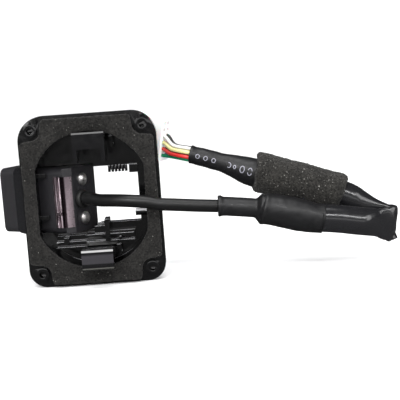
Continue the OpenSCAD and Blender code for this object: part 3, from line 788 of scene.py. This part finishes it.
def mark_frame(mm, angle):
    """A point on the marked sleeve's skin, with the directions along and round the sleeve."""
    p, t, n, b, s = mark_row(mm)
    x, z, _ = marked_reach(mm * MM, angle)
    x2, z2, _ = marked_reach(mm * MM, angle + 0.02)
    at = p + t * (mm * MM - s) + n * x + b * z
    round_way = (n * (x2 - x) + b * (z2 - z)).normalized()
    return at, t, round_way


def flat_ring(mm, angle, half_long, half_round, spans, verts, faces):
    """Adds a thin raised ring of ink, or part of one, to a list of vertices and faces."""
    at, t, way = mark_frame(mm, angle)
    out = t.cross(way).normalized()
    if out.dot(at - mark_row(mm)[0]) < 0:
        out.negate()
    for start, end in spans:
        first, steps = len(verts), 18
        for i in range(steps + 1):
            a = math.radians(start + (end - start) * i / steps)
            for grow in (0.0, INK_WIDTH):
                along = (half_long - grow) * math.cos(a)
                rnd = (half_round - grow) * math.sin(a)
                skin, _, _ = mark_frame(mm + along, angle + rnd / MEAN_R)
                for lift in INK_LIFTS:
                    verts.append(skin + out * lift * MM)
        for i in range(steps):
            a = first + i * 4
            b = a + 4
            faces += [(a + 1, a + 3, b + 3, b + 1), (a, b, b + 2, a + 2),
                      (a, a + 1, b + 1, b), (a + 2, b + 2, b + 3, a + 3)]
        last = first + steps * 4
        faces += [(first, first + 2, first + 3, first + 1),
                  (last, last + 1, last + 3, last + 2)]


mark_verts, mark_faces = [], []
MARK_LINE = math.radians(5)
MARKS = (
    (7.2, 0.95, [(20, 160), (200, 340)]), (9.9, 0.95, [(0, 360)]), (12.6, 0.6, [(0, 360)]),
    (14.6, 0.9, [(60, 300)]), (20.0, 0.85, [(0, 360)]), (22.8, 0.85, [(0, 360)]),
    (25.6, 0.85, [(0, 360)]))
for spot, size, arcs in MARKS:
    flat_ring(spot, MARK_LINE, size * 0.9, size * 1.2, arcs, mark_verts, mark_faces)
marks = make_object("sleeve_ring_marks", mark_verts, mark_faces, "ink", smooth=False)
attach(marks, "return_leg")


# ---------------------------------------------------------------- wires between sleeve and plug

PLUG_DIR = Vector(MOUNTS["plug_mate"]["axis"]).normalized()
PLUG_UP = (-Vector(JOINTS["latch_press"]["axis"])).normalized()
PLUG_SIDE = PLUG_UP.cross(PLUG_DIR).normalized()
INTO_SLEEVE = -mark_dir


def end_centre(node, at_plug):
    """The middle of a wire's CAD end, at the plug or at the sleeve."""
    co = points_of(node)
    along = co @ np.array(PLUG_DIR)
    if at_plug:
        chosen = co[along > along.max() - 0.05 * MM]
    else:
        chosen = co[along < along.min() + 0.9 * MM]
    return Vector((chosen.max(0) + chosen.min(0)) / 2)


random.seed(5)
WIRES = range(1, 9)
PLUG_MIDDLE = sum((end_centre(f"wire_{index}", True) for index in WIRES), Vector()) / len(WIRES)
for index in WIRES:
    node = f"wire_{index}"
    near, far = end_centre(node, False), end_centre(node, True)
    offset = near - MOUTH
    across, up = offset.dot(PLUG_SIDE), offset.dot(PLUG_UP)
    inside = MOUTH + INTO_SLEEVE * 6 * MM + PLUG_SIDE * across * 0.75 + PLUG_UP * up * 0.75
    at_mouth = MOUTH + PLUG_SIDE * across + PLUG_UP * up * 1.06
    way_in = far - PLUG_DIR * 2.9 * MM
    slack = PLUG_SIDE * random.uniform(-0.35, 0.35) * MM + PLUG_UP * random.uniform(-0.9, -0.4) * MM
    middle = MOUTH.lerp(PLUG_MIDDLE, 0.5) + PLUG_SIDE * across + PLUG_UP * up + slack
    path = spline([inside, at_mouth, middle, way_in, way_in + PLUG_DIR * 2.2 * MM], 0.35 * MM)
    radius = 0.66 * MM if index in (1, 8) else 0.6 * MM
    wire = rod(f"{node}_insulation", path, radius, SLOT_OF[node], 20, up=PLUG_UP)
    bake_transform(wire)
    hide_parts(node)


# ---------------------------------------------------------------- stage, light and camera

FLOOR_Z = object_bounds()[0].z
EYE_DISTANCE, ELEVATION, ROLL = 0.330, math.radians(8), math.radians(4)
SENSOR_MM, LENS_MM = 36, 89.1
LOOK_AT = Vector((35.90, -0.37, -2.65)) * MM

plain = Shader("backdrop_paper", (0.93, 0.93, 0.935), 0.9)
paper = plain.mix(plain.spread(plain.noise(40, 2), 0, 0.25), (0.93, 0.93, 0.935), (0.915, 0.915, 0.92))
plain.colour(plain.mix(plain.node("ShaderNodeLightPath").outputs["Is Glossy Ray"], paper, (0.04, 0.04, 0.04)))
plain.bump(plain.noise(900, 2), 0.01)
SWEEP = [(-1.4, 0), (-0.6, 0), (0, 0), (0.3, 0), (0.45, 0), (0.55, 0), (0.7, 0.02), (0.8, 0.08),
         (0.87, 0.18), (0.9, 0.34), (0.9, 1.6)]
FLOOR_GAP = 0.0001
verts = [(x, y, FLOOR_Z + z - FLOOR_GAP) for y, z in SWEEP for x in (-1.8, 1.9)]
faces = [(2 * i, 2 * i + 1, 2 * i + 3, 2 * i + 2) for i in range(len(SWEEP) - 1)]
sweep_mesh = bpy.data.meshes.new("backdrop")
sweep_mesh.from_pydata(verts, [], faces)
sweep_mesh.materials.append(plain.material)
backdrop = bpy.data.objects.new("backdrop", sweep_mesh)
bpy.context.scene.collection.objects.link(backdrop)
modifier(backdrop, "SUBSURF", levels=2, render_levels=3)


def area_light(name, place, target, size, power, colour=(1, 1, 1)):
    data = bpy.data.lights.new(name, "AREA")
    data.shape = "RECTANGLE"
    data.size, data.size_y = size
    data.energy = power
    data.color = colour
    light = bpy.data.objects.new(name, data)
    light.location = place
    light.rotation_mode = "QUATERNION"
    light.rotation_quaternion = (Vector(target) - Vector(place)).to_track_quat("-Z", "Y")
    bpy.context.scene.collection.objects.link(light)


area_light("top_softbox", (0.0, -0.1, 0.62), (0.03, 0, 0), (0.55, 0.4), 3.4)
area_light("edge_strip", (0.03, -0.52, 0.36), (0.03, 0, 0), (1.1, 0.05), 4.2)
area_light("low_strip", (0.08, -0.8, 0.07), (0.06, 0, 0.0), (1.1, 0.12), 0.9)
area_light("front_softbox", (-0.35, -0.62, 0.35), (0.02, 0, 0), (0.4, 0.4), 2.4)
area_light("right_softbox", (0.6, -0.35, 0.25), (0.03, 0, 0), (0.25, 0.4), 1.6)

SKY, SKY_IN_GLOSS = 0.7, 0.06
world = bpy.data.worlds.new("studio")
world.use_nodes = True
sky = world.node_tree.nodes["Background"]
sky.inputs["Color"].default_value = (1, 1, 1, 1)
in_gloss = world.node_tree.nodes.new("ShaderNodeLightPath").outputs["Is Glossy Ray"]
dimmer = world.node_tree.nodes.new("ShaderNodeMapRange")
dimmer.inputs["To Min"].default_value, dimmer.inputs["To Max"].default_value = SKY, SKY * SKY_IN_GLOSS
world.node_tree.links.new(in_gloss, dimmer.inputs["Value"])
world.node_tree.links.new(dimmer.outputs["Result"], sky.inputs["Strength"])
bpy.context.scene.world = world

forward = Vector((0, math.cos(ELEVATION), -math.sin(ELEVATION)))
level_up = Vector((0, math.sin(ELEVATION), math.cos(ELEVATION)))
right = Vector((math.cos(ROLL), 0, 0)) - level_up * math.sin(ROLL)
top = Vector((math.sin(ROLL), 0, 0)) + level_up * math.cos(ROLL)
camera_data = bpy.data.cameras.new("photo_camera")
camera_data.sensor_width = SENSOR_MM
camera_data.lens = LENS_MM
camera_data.clip_start, camera_data.clip_end = 0.01, 10
camera = bpy.data.objects.new("photo_camera", camera_data)
camera.matrix_world = Matrix((
    (right.x, top.x, -forward.x, 0), (right.y, top.y, -forward.y, 0),
    (right.z, top.z, -forward.z, 0), (0, 0, 0, 1)))
camera.location = LOOK_AT - forward * EYE_DISTANCE
bpy.context.scene.collection.objects.link(camera)
bpy.context.scene.camera = camera
bpy.context.scene.view_settings.view_transform = "Standard"
bpy.context.scene.view_settings.look = "None"

bpy.context.view_layer.update()
